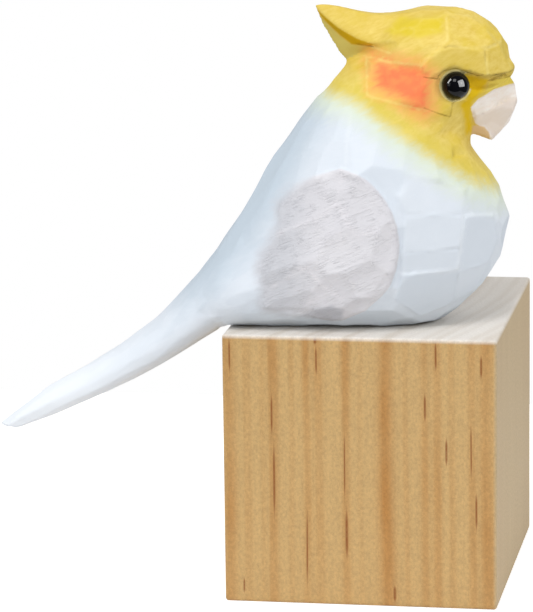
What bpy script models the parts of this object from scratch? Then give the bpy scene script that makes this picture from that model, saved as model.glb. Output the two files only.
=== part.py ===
"""A hand-carved and painted cockatiel that sits on a plain pine block.

The bird is one piece of wood, shaped by knife cuts that stay visible as flat facets. It is a loft of
carved sections from the tail's end to the crown, joined with the crest, the hooked beak and the low
relief of the wings. Each eye is a glass bead in a bored socket.
Lengths are in millimetres until they reach a mesh. The block stands on the origin, +X is the way the
bird looks, and the bird's own places are measured from its seat on the block.
"""

import math
import random

import bmesh
import bpy

MM = 0.001

# Block
BLOCK_WIDTH = 60.0
BLOCK_DEPTH = 70.0
BLOCK_HEIGHT = 60.0
BLOCK_BEVEL = 0.7

# Where the bird sits
SEAT_X = -3.0
SEAT_Y = -17.0
BIRD_TURN = math.radians(10.0)
SEAT_GAP = 0.3

# Tail
TAIL_LENGTH = 52.3
TAIL_SLOPE = math.radians(36.1)
TAIL_THICKNESS = 12.0
TAIL_WIDTH = 19.0

# Widths of body, head, crest and beak
BODY_WIDTH = 38.0
HEAD_WIDTH = 27.0
CREST_WIDTH = 20.0
BEAK_WIDTH = 10.4

# Relief and knife work
WING_RELIEF = 1.5
KNIFE_WANDER = 0.45
BROW_DEPTH = 1.6

# Eyes
EYE_DIAMETER = 6.0
EYE_CLEARANCE = 0.3
EYE_X = 21.4
EYE_Z = 53.6
EYE_SPACING = 22.4

# Angles at which a section's facets meet, from the back round to the breast
BODY_RIDGES = (27.0, 52.0, 73.0, 92.0, 111.0, 131.0, 152.0)
WING_RIDGES = (20.0, 45.0, 66.0, 86.0, 104.0, 124.0, 150.0)

# Tail sections: share of the length, hollow of the top line, share of thickness and width, lean of the cut
TAIL_SECTIONS = (
    (1.0, 0.0, 0.33, 0.30, math.radians(14.0)),
    (0.74, 0.1, 0.49, 0.45, math.radians(63.0)),
    (0.47, 1.6, 0.62, 0.60, math.radians(61.0)),
    (0.21, 1.8, 0.76, 0.78, math.radians(59.0)),
    (0.0, 0.0, 1.0, 1.0, math.radians(60.0)),
)

# Body and head sections: back (x, z), breast (x, z), share of the width, place of the widest point
RUMP = (-36.6, 8.8)
BODY_SECTIONS = (
    ((-31.4, 14.9), (-28.2, -0.5), 0.62, 0.50),
    ((-26.9, 21.7), (-10.5, -0.8), 0.76, 0.52),
    ((-22.9, 28.1), (4.0, -1.2), 0.89, 0.50),
    ((-19.2, 33.9), (17.0, 0.0), 0.97, 0.49),
    ((-15.6, 39.6), (26.2, 6.6), 1.0, 0.48),
    ((-12.7, 43.7), (31.3, 14.4), 0.99, 0.47),
    ((-9.9, 47.4), (33.3, 22.9), 0.95, 0.46),
    ((-7.0, 51.1), (31.2, 29.8), 0.88, 0.46),
    ((-4.4, 54.4), (28.0, 35.2), 0.81, 0.46),
    ((-2.1, 57.3), (25.5, 39.6), 0.755, 0.47),
)
HEAD_SECTIONS = (
    ((-0.4, 58.6), (25.1, 42.6), 1.03, 0.50),
    ((1.6, 60.0), (26.2, 46.8), 1.02, 0.53),
    ((2.8, 61.0), (30.6, 51.0), 1.0, 0.49),
    ((3.8, 62.2), (34.7, 55.2), 0.985, 0.45),
    ((4.5, 63.9), (33.6, 60.3), 0.92, 0.47),
    ((6.7, 66.4), (30.3, 65.0), 0.74, 0.48),
    ((9.9, 68.1), (26.2, 67.9), 0.48, 0.50),
    ((12.6, 69.0), (22.6, 69.1), 0.26, 0.50),
)

# Crest sections: top, side ridge, lower ridge and keel as (x, z), with their shares of the width
CREST_SECTIONS = (
    ((-8.5, 70.2), (-8.55, 69.9), (-8.5, 69.7), (-8.4, 69.5), 0.05, 0.03),
    ((-6.3, 70.1), (-6.3, 67.7), (-6.5, 66.8), (-7.2, 66.3), 0.18, 0.09),
    ((-3.1, 69.6), (-3.6, 65.5), (-3.3, 63.6), (-5.0, 62.2), 0.30, 0.16),
    ((1.3, 68.5), (0.4, 63.3), (-0.8, 61.7), (-1.8, 57.6), 0.44, 0.29),
    ((5.6, 67.9), (3.7, 62.2), (3.3, 61.5), (1.6, 56.6), 0.58, 0.46),
    ((10.0, 68.2), (8.0, 62.6), (7.0, 60.0), (5.0, 56.0), 0.86, 0.60),
    ((17.5, 68.6), (16.0, 63.5), (16.0, 58.0), (14.0, 55.0), 0.90, 0.70),
)

# Beak sections from the top down: height, back x, front x, share of the width at back and front
BEAK_SECTIONS = (
    (53.1, 23.0, 34.2, 0.84, 0.40),
    (51.9, 23.0, 34.9, 0.92, 0.46),
    (49.6, 22.0, 35.2, 1.0, 0.56),
    (46.9, 22.0, 34.9, 1.0, 0.52),
    (44.1, 22.0, 33.5, 0.86, 0.42),
    (41.9, 25.2, 32.0, 0.56, 0.34),
    (40.2, 28.5, 30.3, 0.26, 0.18),
)

# Wing outline on the side of the body, from the shoulder round the front edge to the tip
WING_OUTLINE = (
    (-3.8, 36.8),
    (0.8, 35.2),
    (4.2, 32.2),
    (6.8, 28.4),
    (8.3, 24.0),
    (8.7, 18.8),
    (7.5, 13.8),
    (4.4, 9.6),
    (-0.8, 6.2),
    (-6.6, 4.2),
    (-11.8, 5.6),
    (-20.6, 5.6),
    (-21.0, 9.6),
    (-22.0, 15.2),
    (-19.6, 19.8),
    (-17.4, 24.4),
    (-17.2, 28.6),
    (-11.6, 33.6),
)

# Cut that leaves the brow standing over the eye: x, underside of the brow, foot of the cut, depth left
FACE_CUT = (
    (14.4, 55.1, 49.2, 13.9),
    (16.2, 55.9, 48.5, 13.0),
    (18.8, 57.2, 47.4, 12.3),
    (21.6, 57.3, 46.2, 11.6),
    (24.6, 56.5, 45.2, 9.8),
    (27.8, 55.4, 44.4, 7.6),
    (31.2, 55.5, 43.6, 5.9),
    (37.0, 54.9, 43.0, 3.6),
)
# Wedge under the brow, in front of the eye: x, top, bottom, depth left before BROW_DEPTH
BROW_CUT = (
    (22.6, 56.2, 53.4, 11.2),
    (26.0, 55.6, 52.2, 9.0),
    (31.0, 55.2, 52.8, 6.6),
    (37.0, 54.6, 53.3, 3.0),
)
# Second cut in front of the cheek, down to the throat: x, top, foot, depth left
THROAT_CUT = (
    (20.6, 50.4, 38.0, 11.4),
    (22.0, 50.2, 38.0, 10.4),
    (24.6, 49.6, 38.0, 8.6),
    (27.8, 49.0, 38.0, 7.0),
)
OUTSIDE = 26.0

# Paint
WHITE_PAINT = ((0.78, 0.80, 0.86), 0.62)
YELLOW_PAINT = ((0.80, 0.62, 0.10), 0.60)
WING_PAINT = ((0.62, 0.56, 0.58), 0.55)
BEAK_PAINT = ((0.82, 0.62, 0.54), 0.60)
BLACK_GLASS = ((0.004, 0.004, 0.005), 0.05)
PINE = ((0.56, 0.36, 0.17), 0.65)
COLLAR_BACK = (-4.3, 54.1)
COLLAR_FRONT = (31.0, 28.5)

knife = random.Random(11)


def material(name, paint):
    """A painted or bare surface from its colour and roughness."""
    made = bpy.data.materials.new(name)
    made.use_nodes = True
    shader = made.node_tree.nodes["Principled BSDF"]
    shader.inputs["Base Color"].default_value = (*paint[0], 1.0)
    shader.inputs["Roughness"].default_value = paint[1]
    shader.inputs["Metallic"].default_value = 0.0
    return made


def loft(name, rings, finish, into):
    """A closed solid through rings of (x, y, z) corners, with a flat cap on each end."""
    shape = bmesh.new()
    rows = [[shape.verts.new([value * MM for value in corner]) for corner in ring] for ring in rings]
    for row, following in zip(rows, rows[1:]):
        for i in range(len(row)):
            j = (i + 1) % len(row)
            shape.faces.new((row[i], row[j], following[j], following[i]))
    shape.faces.new(list(reversed(rows[0])))
    shape.faces.new(rows[-1])
    bmesh.ops.triangulate(shape, faces=shape.faces[:], quad_method="BEAUTY", ngon_method="BEAUTY")
    bmesh.ops.recalc_face_normals(shape, faces=shape.faces[:])
    data = bpy.data.meshes.new(name)
    shape.to_mesh(data)
    shape.free()
    data.materials.append(finish)
    solid = bpy.data.objects.new(name, data)
    into.objects.link(solid)
    return solid


def carved_ring(back, front, half_width, widest, ridges, wander):
    """Corners of one section: an oval between back and front, widest at its own place, cut into flats."""
    power = math.log(widest) / math.log(0.5)
    sides = []
    for side in (-1.0, 1.0):
        corners = []
        for ridge in ridges:
            angle = math.radians(ridge)
            along = ((1.0 - math.cos(angle)) / 2.0) ** power
            out = half_width * math.sin(angle) + knife.uniform(-wander, wander)
            corners.append((
                back[0] + (front[0] - back[0]) * along,
                side * max(out, 0.3),
                back[1] + (front[1] - back[1]) * along,
            ))
        sides.append(corners)
    return [(back[0], 0.0, back[1])] + sides[0] + [(front[0], 0.0, front[1])] + sides[1][::-1]


def body_rings(relief, ridges, wander):
    """Rings from the tail's end to the crown, with the sides moved out by the relief."""
    rings = []
    for share, hollow, thick, wide, lean in TAIL_SECTIONS:
        top = (
            RUMP[0] - TAIL_LENGTH * share * math.cos(TAIL_SLOPE) + hollow * math.sin(TAIL_SLOPE),
            RUMP[1] - TAIL_LENGTH * share * math.sin(TAIL_SLOPE) - hollow * math.cos(TAIL_SLOPE),
        )
        under = (
            top[0] + TAIL_THICKNESS * thick * math.cos(lean),
            top[1] - TAIL_THICKNESS * thick * math.sin(lean),
        )
        half_width = TAIL_WIDTH / 2.0 * wide + relief
        rings.append(carved_ring(top, under, half_width, 0.5, ridges, wander * 0.6))
    for back, front, share, widest in BODY_SECTIONS:
        rings.append(carved_ring(back, front, BODY_WIDTH / 2.0 * share + relief, widest, ridges, wander))
    for back, front, share, widest in HEAD_SECTIONS:
        rings.append(carved_ring(back, front, HEAD_WIDTH / 2.0 * share + relief, widest, ridges, wander))
    return rings


def join(target, tool, operation):
    """An exact Boolean of the tool on the target."""
    step = target.modifiers.new(tool.name, "BOOLEAN")
    step.object = tool
    step.operation = operation
    step.solver = "EXACT"
    step.material_mode = "TRANSFER"


for old in list(bpy.data.objects):
    bpy.data.objects.remove(old, do_unlink=True)

parts = bpy.data.collections.new("carved_cockatiel")
cutters = bpy.data.collections.new("carving_helpers")
cutters.hide_render = True
bpy.context.scene.collection.children.link(parts)
bpy.context.scene.collection.children.link(cutters)

white = material("white_paint", WHITE_PAINT)
yellow = material("yellow_paint", YELLOW_PAINT)
pearl = material("pearl_wing_paint", WING_PAINT)
pink = material("pale_beak_paint", BEAK_PAINT)
glass = material("black_glass", BLACK_GLASS)
pine = material("pine", PINE)

# Block
bpy.ops.mesh.primitive_cube_add(size=1.0)
block = bpy.context.object
block.name = block.data.name = "wood_block"
for owner in list(block.users_collection):
    owner.objects.unlink(block)
parts.objects.link(block)
block.scale = (BLOCK_WIDTH * MM, BLOCK_DEPTH * MM, BLOCK_HEIGHT * MM)
block.location = (0.0, 0.0, BLOCK_HEIGHT / 2.0 * MM)
bpy.ops.object.transform_apply(location=False, rotation=False, scale=True)
block.data.materials.append(pine)
rounding = block.modifiers.new("planed_edges", "BEVEL")
rounding.width = BLOCK_BEVEL * MM
rounding.segments = 3

# Seat that carries the bird and its eyes
seat = bpy.data.objects.new("bird_seat", None)
seat.location = (SEAT_X * MM, SEAT_Y * MM, BLOCK_HEIGHT * MM)
seat.rotation_euler = (0.0, 0.0, BIRD_TURN)
parts.objects.link(seat)

# Bird
bird = loft("bird_carving", body_rings(0.0, BODY_RIDGES, KNIFE_WANDER), white, parts)
bird.parent = seat
bird.data.materials.append(yellow)
collar = (
    (COLLAR_FRONT[0] - COLLAR_BACK[0]) * MM,
    (COLLAR_FRONT[1] - COLLAR_BACK[1]) * MM,
)
for face in bird.data.polygons:
    x = face.center.x - COLLAR_BACK[0] * MM
    z = face.center.z - COLLAR_BACK[1] * MM
    if collar[0] * z - collar[1] * x > 0.0:
        face.material_index = 1

# Crest: a wedge with side ridges and a keel at the back, drawn out to one tip
crest_rings = []
for top, ridge, under, keel, ridge_share, under_share in CREST_SECTIONS:
    out = CREST_WIDTH / 2.0 * ridge_share
    inner = CREST_WIDTH / 2.0 * under_share
    crest_rings.append((
        (top[0], -out * 0.34, top[1]),
        (ridge[0], -out, ridge[1]),
        (under[0], -inner, under[1]),
        (keel[0], 0.0, keel[1]),
        (under[0], inner, under[1]),
        (ridge[0], out, ridge[1]),
        (top[0], out * 0.34, top[1]),
    ))
crest = loft("crest", crest_rings, yellow, cutters)

# Beak: hooked, thick at its root and narrow along its ridge and at its point
beak_rings = []
for height, back, front, root, ridge in BEAK_SECTIONS:
    outer = BEAK_WIDTH / 2.0 * root
    inner = BEAK_WIDTH / 2.0 * ridge
    middle = back + (front - back) * 0.62
    beak_rings.append((
        (back, -outer, height),
        (middle, -(outer + inner) / 2.0 * 1.08, height),
        (front, -inner * 0.45, height),
        (front, inner * 0.45, height),
        (middle, (outer + inner) / 2.0 * 1.08, height),
        (back, outer, height),
    ))
beak = loft("beak", beak_rings, pink, cutters)
for piece in (crest, beak):
    piece.parent = seat
    join(bird, piece, "UNION")

# Wings, brow, wedge and eye on each side
for side, label in ((-1.0, "right"), (1.0, "left")):
    wing = loft(label + "_wing", body_rings(WING_RELIEF, WING_RIDGES, KNIFE_WANDER), pearl, cutters)
    near = [(x, side * 6.0, z) for x, z in WING_OUTLINE]
    far = [(x, side * OUTSIDE, z) for x, z in WING_OUTLINE]
    outline = loft(label + "_wing_outline", (near, far), pearl, cutters)
    join(wing, outline, "INTERSECT")
    face_cut = loft(
        label + "_face_cut",
        [
            [(x, side * left, low), (x, side * left, top), (x, side * OUTSIDE, top), (x, side * OUTSIDE, low)]
            for x, top, low, left in FACE_CUT
        ],
        yellow,
        cutters,
    )
    brow_cut = loft(
        label + "_brow_cut",
        [
            [
                (x, side * (left - BROW_DEPTH), low),
                (x, side * (left - BROW_DEPTH), top),
                (x, side * OUTSIDE, top),
                (x, side * OUTSIDE, low),
            ]
            for x, top, low, left in BROW_CUT
        ],
        yellow,
        cutters,
    )
    throat_cut = loft(
        label + "_throat_cut",
        [
            [(x, side * left, low), (x, side * left, top), (x, side * OUTSIDE, top), (x, side * OUTSIDE, low)]
            for x, top, low, left in THROAT_CUT
        ],
        yellow,
        cutters,
    )
    eye_place = (EYE_X * MM, side * EYE_SPACING / 2.0 * MM, EYE_Z * MM)
    for name, radius, finish, owner in (
        ("eye_" + label, EYE_DIAMETER / 2.0, glass, parts),
        ("socket_" + label, EYE_DIAMETER / 2.0 + EYE_CLEARANCE, yellow, cutters),
    ):
        bpy.ops.mesh.primitive_uv_sphere_add(segments=32, ring_count=16, radius=radius * MM)
        ball = bpy.context.object
        ball.name = ball.data.name = name
        for holder in list(ball.users_collection):
            holder.objects.unlink(ball)
        owner.objects.link(ball)
        ball.data.materials.append(finish)
        ball.location = eye_place
        ball.rotation_euler = (math.radians(90.0), 0.0, 0.0)
        ball.parent = seat
    bpy.data.objects["eye_" + label].data.shade_smooth()
    for piece in (wing, outline, face_cut, brow_cut, throat_cut):
        piece.parent = seat
    join(bird, wing, "UNION")
    join(bird, face_cut, "DIFFERENCE")
    join(bird, brow_cut, "DIFFERENCE")
    join(bird, throat_cut, "DIFFERENCE")
    join(bird, bpy.data.objects["socket_" + label], "DIFFERENCE")

# Flat under the bird where it sits on the block, and the clearance over the block's edge
bpy.ops.mesh.primitive_cube_add(size=1.0)
seat_cut = bpy.context.object
seat_cut.name = "seat_cut"
for owner in list(seat_cut.users_collection):
    owner.objects.unlink(seat_cut)
cutters.objects.link(seat_cut)
seat_cut.scale = (
    (BLOCK_WIDTH + 2.0 * SEAT_GAP) * MM,
    (BLOCK_DEPTH + 2.0 * SEAT_GAP) * MM,
    (BLOCK_HEIGHT + 2.0 * SEAT_GAP) * MM,
)
seat_cut.location = block.location
join(bird, seat_cut, "DIFFERENCE")

for helper in cutters.objects:
    helper.hide_render = True
    helper.display_type = "WIRE"
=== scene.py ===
import math

import bmesh
import bpy
import numpy as np
from mathutils import Matrix, Vector


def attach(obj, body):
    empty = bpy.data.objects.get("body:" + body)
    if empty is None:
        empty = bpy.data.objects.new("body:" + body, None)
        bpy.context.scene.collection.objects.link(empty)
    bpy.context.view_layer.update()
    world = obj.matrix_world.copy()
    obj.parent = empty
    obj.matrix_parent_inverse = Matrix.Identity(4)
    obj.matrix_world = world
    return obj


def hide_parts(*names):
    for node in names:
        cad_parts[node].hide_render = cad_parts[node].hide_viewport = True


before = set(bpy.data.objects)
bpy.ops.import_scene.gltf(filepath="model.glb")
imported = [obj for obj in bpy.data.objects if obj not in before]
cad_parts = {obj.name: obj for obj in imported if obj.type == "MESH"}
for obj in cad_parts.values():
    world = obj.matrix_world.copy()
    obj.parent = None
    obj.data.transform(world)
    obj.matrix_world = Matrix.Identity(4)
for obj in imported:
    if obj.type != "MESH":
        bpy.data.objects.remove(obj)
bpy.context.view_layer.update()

# Wood block. The stand is an offcut of planed pine with the grain upright, left bare. It shows early
# wood and darker late wood as upright bands, short resin canals, and end grain on its top.

BLOCK = np.array([60.0, 70.0, 60.0])
BLOCK_EDGE = 0.7
MM = 0.001
scene = bpy.context.scene


def linear(code):
    """An sRGB hex value as linear red, green, blue and alpha."""
    parts = np.array([int(code[i:i + 2], 16) for i in (0, 2, 4)]) / 255.0
    low = parts / 12.92
    high = ((parts + 0.055) / 1.055) ** 2.4
    return (*np.where(parts <= 0.04045, low, high), 1.0)


def mesh_object(name, points, faces, smooth=True):
    """A mesh object at the origin, from arrays of points in metres and of faces."""
    data = bpy.data.meshes.new(name)
    data.from_pydata(points.tolist(), [], faces.tolist())
    data.polygons.foreach_set("use_smooth", np.full(len(data.polygons), smooth))
    data.update()
    made = bpy.data.objects.new(name, data)
    scene.collection.objects.link(made)
    return made


def grid_faces(rows, columns, around=False):
    """Quads between the neighbours on a grid, which closes on itself along its columns when around."""
    i, j = np.meshgrid(np.arange(rows - 1), np.arange(columns if around else columns - 1), indexing="ij")
    k = (j + 1) % columns
    below, above = i * columns, (i + 1) * columns
    return np.stack([below + j, below + k, above + k, above + j], -1).reshape(-1, 4)


def node(tree, kind, inputs=(), **settings):
    """Adds a shader node with its settings, and sets or links its inputs by name or number. A node that is
    given as an input stands for its first output."""
    made = tree.nodes.new("ShaderNode" + kind)
    for key, value in settings.items():
        setattr(made, key, value)
    for key, value in dict(inputs).items():
        if isinstance(value, bpy.types.Node):
            value = value.outputs[0]
        if isinstance(value, bpy.types.NodeSocket):
            tree.links.new(value, made.inputs[key])
        else:
            made.inputs[key].default_value = value
    return made


def new_material(name, **settings):
    """A node material with a Principled shader, set as given, as (material, tree, the shader's inputs)."""
    made = bpy.data.materials.new(name)
    made.use_nodes = True
    inputs = made.node_tree.nodes["Principled BSDF"].inputs
    for key, value in settings.items():
        inputs[key.replace("_", " ")].default_value = value
    return made, made.node_tree, inputs


def rounded_box(size, edge, steps):
    """Six grids on a box. Each point is pulled in to the box less its edge radius, then pushed out by that
    radius along the line to where it was, so that flats stay flat and edges come out round."""
    ease = np.linspace(-1.0, 1.0, steps)
    ease = np.sign(ease) * (1.0 - (1.0 - np.abs(ease)) ** 1.6)
    a, b = np.meshgrid(ease, ease, indexing="ij")
    points, faces = [], []
    for axis in range(3):
        for side in (-1.0, 1.0):
            cube = np.empty((steps, steps, 3))
            cube[..., axis] = side
            cube[..., (axis + 1) % 3] = a * side
            cube[..., (axis + 2) % 3] = b
            faces.append(grid_faces(steps, steps) + len(points) * steps * steps)
            points.append(cube.reshape(-1, 3))
    points = np.concatenate(points) * size / 2.0
    inner = np.clip(points, -size / 2.0 + edge, size / 2.0 - edge)
    away = points - inner
    length = np.maximum(np.linalg.norm(away, axis=1, keepdims=True), 1e-9)
    return inner + away / length * edge, np.concatenate(faces)


def merge(piece, distance):
    """Joins points closer than the distance and turns all faces outward."""
    shape = bmesh.new()
    shape.from_mesh(piece.data)
    bmesh.ops.remove_doubles(shape, verts=shape.verts[:], dist=distance)
    bmesh.ops.recalc_face_normals(shape, faces=shape.faces[:])
    shape.to_mesh(piece.data)
    shape.free()


box_points, box_quads = rounded_box(BLOCK, BLOCK_EDGE, steps=64)
box_points[:, 2] += BLOCK[2] / 2.0
block = mesh_object("pine_block", box_points * MM, box_quads)
merge(block, distance=1e-6)

# Bare planed pine: a dry, open surface, dull, with orange late wood and fine specks that catch light.
pine, tree, shader = new_material("planed_bare_pine", Roughness=0.62, Specular_IOR_Level=0.35)
place = node(tree, "TexCoord").outputs["Object"]
axes = node(tree, "SeparateXYZ", {0: place})

# Late wood where it crosses the front: from the middle, half width, both mm, and strength. The tree's
# heart lies far to the left, so each ring runs up the front and over the top as a slightly bent line.
HEART = (-190.0, 40.0)
RING_WANDER = 3.4
LATE_WOOD = (
    (-28.6, 1.9, 0.85), (-24.4, 1.1, 0.35), (-21.2, 0.9, 0.25), (-19.2, 1.3, 0.75), (-15.2, 0.8, 0.3),
    (-11.8, 1.2, 0.7), (-9.3, 1.3, 0.55), (-3.1, 1.3, 0.75), (0.4, 0.7, 0.2), (6.0, 2.0, 1.0),
    (10.2, 0.9, 0.3), (14.4, 1.3, 0.55), (16.9, 1.2, 0.6), (20.2, 0.9, 0.35), (24.8, 1.2, 0.6),
    (28.0, 2.2, 0.8),
)
front_y = -BLOCK[1] / 2.0
ring_low = math.hypot(-34.0 - HEART[0], front_y - HEART[1])
ring_high = math.hypot(34.0 - HEART[0], front_y - HEART[1])
curve_at = np.linspace(0.0, 1.0, 120)
curve_value = np.zeros(len(curve_at))
for across, half, strength in LATE_WOOD:
    middle = math.hypot(across - HEART[0], front_y - HEART[1])
    off = (ring_low + (ring_high - ring_low) * curve_at - middle) / half
    curve_value = np.maximum(curve_value, strength * np.exp(-off ** 2 * 1.6))
wander_place = node(tree, "Mapping", {"Vector": place, "Scale": (45.0, 45.0, 9.0)})
wander = node(tree, "TexNoise", {"Vector": wander_place, "Scale": 1.0, "Detail": 3.0})
heart = node(tree, "Mapping", {
    "Vector": place, "Location": (-HEART[0] * MM, -HEART[1] * MM, 0.0), "Scale": (1.0, 1.0, 0.0),
})
ring = node(tree, "VectorMath", {0: heart}, operation="LENGTH")
bent = node(tree, "Math", {
    0: wander, 1: RING_WANDER * MM, 2: ring.outputs["Value"],
}, operation="MULTIPLY_ADD")
ring_share = node(tree, "MapRange", {
    "Value": bent,
    "From Min": (ring_low + RING_WANDER / 2.0) * MM,
    "From Max": (ring_high + RING_WANDER / 2.0) * MM,
})
rings = node(tree, "FloatCurve", {"Value": ring_share})
curve = rings.mapping.curves[0]
for position, value in list(zip(curve_at, curve_value))[1:-1]:
    curve.points.new(position, value)
curve.points[0].location = (0.0, 0.4)
curve.points[len(curve.points) - 1].location = (1.0, 0.4)
rings.mapping.update()
fibre_place = node(tree, "Mapping", {"Vector": place, "Scale": (1500.0, 1500.0, 45.0)})
fibre = node(tree, "TexNoise", {"Vector": fibre_place, "Scale": 1.0, "Detail": 3.0, "Roughness": 0.65})
speck_place = node(tree, "Mapping", {"Vector": place, "Scale": (1900.0, 1900.0, 1500.0)})
speck = node(tree, "TexNoise", {"Vector": speck_place, "Scale": 1.0, "Detail": 3.0, "Roughness": 0.75})
broad = node(tree, "TexNoise", {"Vector": place, "Scale": 34.0, "Detail": 2.0})
# A noise lies almost wholly between these values.
NOISE_RANGE = {"From Min": 0.3, "From Max": 0.7}
uneven = node(tree, "MapRange", {"Value": broad, **NOISE_RANGE, "To Min": 0.35, "To Max": 1.0})
late = node(tree, "Math", {0: rings, 1: uneven}, operation="MULTIPLY", use_clamp=True)
side_wood = node(tree, "Mix", {0: late, 6: linear("caa770"), 7: linear("b58042")}, data_type="RGBA")
fibre_tone = node(tree, "MapRange", {"Value": fibre, **NOISE_RANGE, "To Min": 0.95, "To Max": 1.03})
speck_tone = node(tree, "MapRange", {"Value": speck, **NOISE_RANGE, "To Min": 0.84, "To Max": 1.13})
tone = node(tree, "Math", {0: fibre_tone, 1: speck_tone}, operation="MULTIPLY")
toned = node(tree, "VectorMath", {0: side_wood.outputs[2], 3: tone}, operation="SCALE")

# Resin canals on the planed front: across from the middle, top and bottom above the floor, half width, mm
CANALS = (
    (-28.2, 60.5, 50.5, 0.18), (-19.3, 48.5, 36.5, 0.18), (-18.9, 38.5, 17.0, 0.22),
    (-11.8, 24.0, 1.5, 0.16), (-9.6, 60.6, 58.0, 0.32), (-9.4, 59.0, 50.5, 0.18),
    (-3.3, 41.0, 21.5, 0.15), (-2.9, 23.5, 8.8, 0.30), (16.8, 60.6, 52.0, 0.20), (14.4, 49.0, 40.8, 0.22),
    (19.0, 39.2, 31.0, 0.25), (24.5, 43.5, 27.5, 0.15), (26.8, 57.5, 50.8, 0.24),
    (25.6, 27.4, 16.5, 0.22), (7.5, 5.4, 0.5, 0.28), (-25.6, 6.0, 1.5, 0.18),
)
CANAL_WANDER = 1.6
canal = 0.0
for across, top, bottom, half in CANALS:
    bend = node(tree, "Math", {
        0: wander, 1: CANAL_WANDER * MM, 2: axes.outputs["X"],
    }, operation="MULTIPLY_ADD")
    off = node(tree, "Math", {0: bend, 1: (across + CANAL_WANDER / 2.0) * MM}, operation="SUBTRACT")
    near = node(tree, "Math", {0: off}, operation="ABSOLUTE")
    rise = node(tree, "Math", {0: axes.outputs["Z"], 1: (top + bottom) / 2.0 * MM}, operation="SUBTRACT")
    level = node(tree, "Math", {0: rise}, operation="ABSOLUTE")
    span = node(tree, "MapRange", {
        "Value": level, "From Min": (top - bottom) / 2.0 * MM, "From Max": (top - bottom) / 6.0 * MM,
    }, interpolation_type="SMOOTHSTEP")
    width = node(tree, "Math", {0: span, 1: half * MM * 1.6, 2: half * MM * 0.2}, operation="MULTIPLY_ADD")
    line = node(tree, "MapRange", {
        "Value": near, "From Min": width, "From Max": 0.0,
    }, interpolation_type="SMOOTHSTEP")
    canal = node(tree, "Math", {0: line, 1: span, 2: canal}, operation="MULTIPLY_ADD")
front_only = node(tree, "Math", {0: axes.outputs["Y"], 1: (front_y + 0.4) * MM}, operation="LESS_THAN")
broken = node(tree, "MapRange", {
    "Value": speck, "From Min": 0.3, "From Max": 0.55, "To Min": 0.6, "To Max": 0.95,
})
canal = node(tree, "Math", {0: canal, 1: front_only}, operation="MULTIPLY")
canal = node(tree, "Math", {0: canal, 1: broken}, operation="MULTIPLY", use_clamp=True)
planed = node(tree, "Mix", {0: canal, 6: toned, 7: linear("874a1c")}, data_type="RGBA")

# The right-hand face lies along one ring and is paler and greyer, and the sawn top is nearly white.
right_face = node(tree, "MapRange", {
    "Value": axes.outputs["X"], "From Min": (BLOCK[0] / 2.0 - 0.8) * MM,
    "From Max": (BLOCK[0] / 2.0 - 0.1) * MM, "To Max": 0.8,
})
pale_tone = node(tree, "VectorMath", {0: linear("c6b18c")[:3], 3: tone}, operation="SCALE")
pale_side = node(tree, "Mix", {0: right_face, 6: planed.outputs[2], 7: pale_tone}, data_type="RGBA")
top_face = node(tree, "MapRange", {
    "Value": axes.outputs["Z"], "From Min": (BLOCK[2] - 1.0) * MM, "From Max": (BLOCK[2] - 0.1) * MM,
})
end_ring = node(tree, "Mix", {0: late, 6: linear("ede7df"), 7: linear("d8cdbf")}, data_type="RGBA")
end_tone = node(tree, "MapRange", {"Value": speck, **NOISE_RANGE, "To Min": 0.88, "To Max": 1.06})
end_wood = node(tree, "VectorMath", {0: end_ring.outputs[2], 3: end_tone}, operation="SCALE")
wood = node(tree, "Mix", {0: top_face, 6: pale_side.outputs[2], 7: end_wood}, data_type="RGBA")
tree.links.new(wood.outputs[2], shader["Base Color"])
relief = node(tree, "Math", {0: fibre, 1: 0.5, 2: speck}, operation="MULTIPLY_ADD")
grain_bump = node(tree, "Bump", {"Strength": 0.35, "Distance": 0.00012, "Height": relief})
tree.links.new(grain_bump.outputs[0], shader["Normal"])
block.data.materials.append(pine)
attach(block, "root")
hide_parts("wood_block")

# Bird. Body, tail, head, crest and beak are one piece of limewood. It was roughed out, then pared all
# over with a knife, which left flats about 8 mm across, and painted thinly so that they still show.

SEAT = np.array([-3.0, -17.0, 60.0])
TURN = math.radians(10.0)
TAIL_LENGTH = 52.3
TAIL_SLOPE = math.radians(36.1)
TAIL_THICKNESS = 12.0
TAIL_WIDTH = 19.0
BODY_WIDTH = 38.0
HEAD_WIDTH = 27.0
RUMP = np.array([-36.6, 8.8])

# Tail: share of the length, hollow of the top line, share of thickness, share of width, lean of the cut
TAIL = (
    (1.0, 0.0, 0.33, 0.30, 14.0), (0.74, 0.1, 0.49, 0.45, 63.0), (0.47, 1.6, 0.62, 0.60, 61.0),
    (0.21, 1.8, 0.76, 0.78, 59.0), (0.0, 0.0, 1.0, 1.0, 60.0),
)
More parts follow.
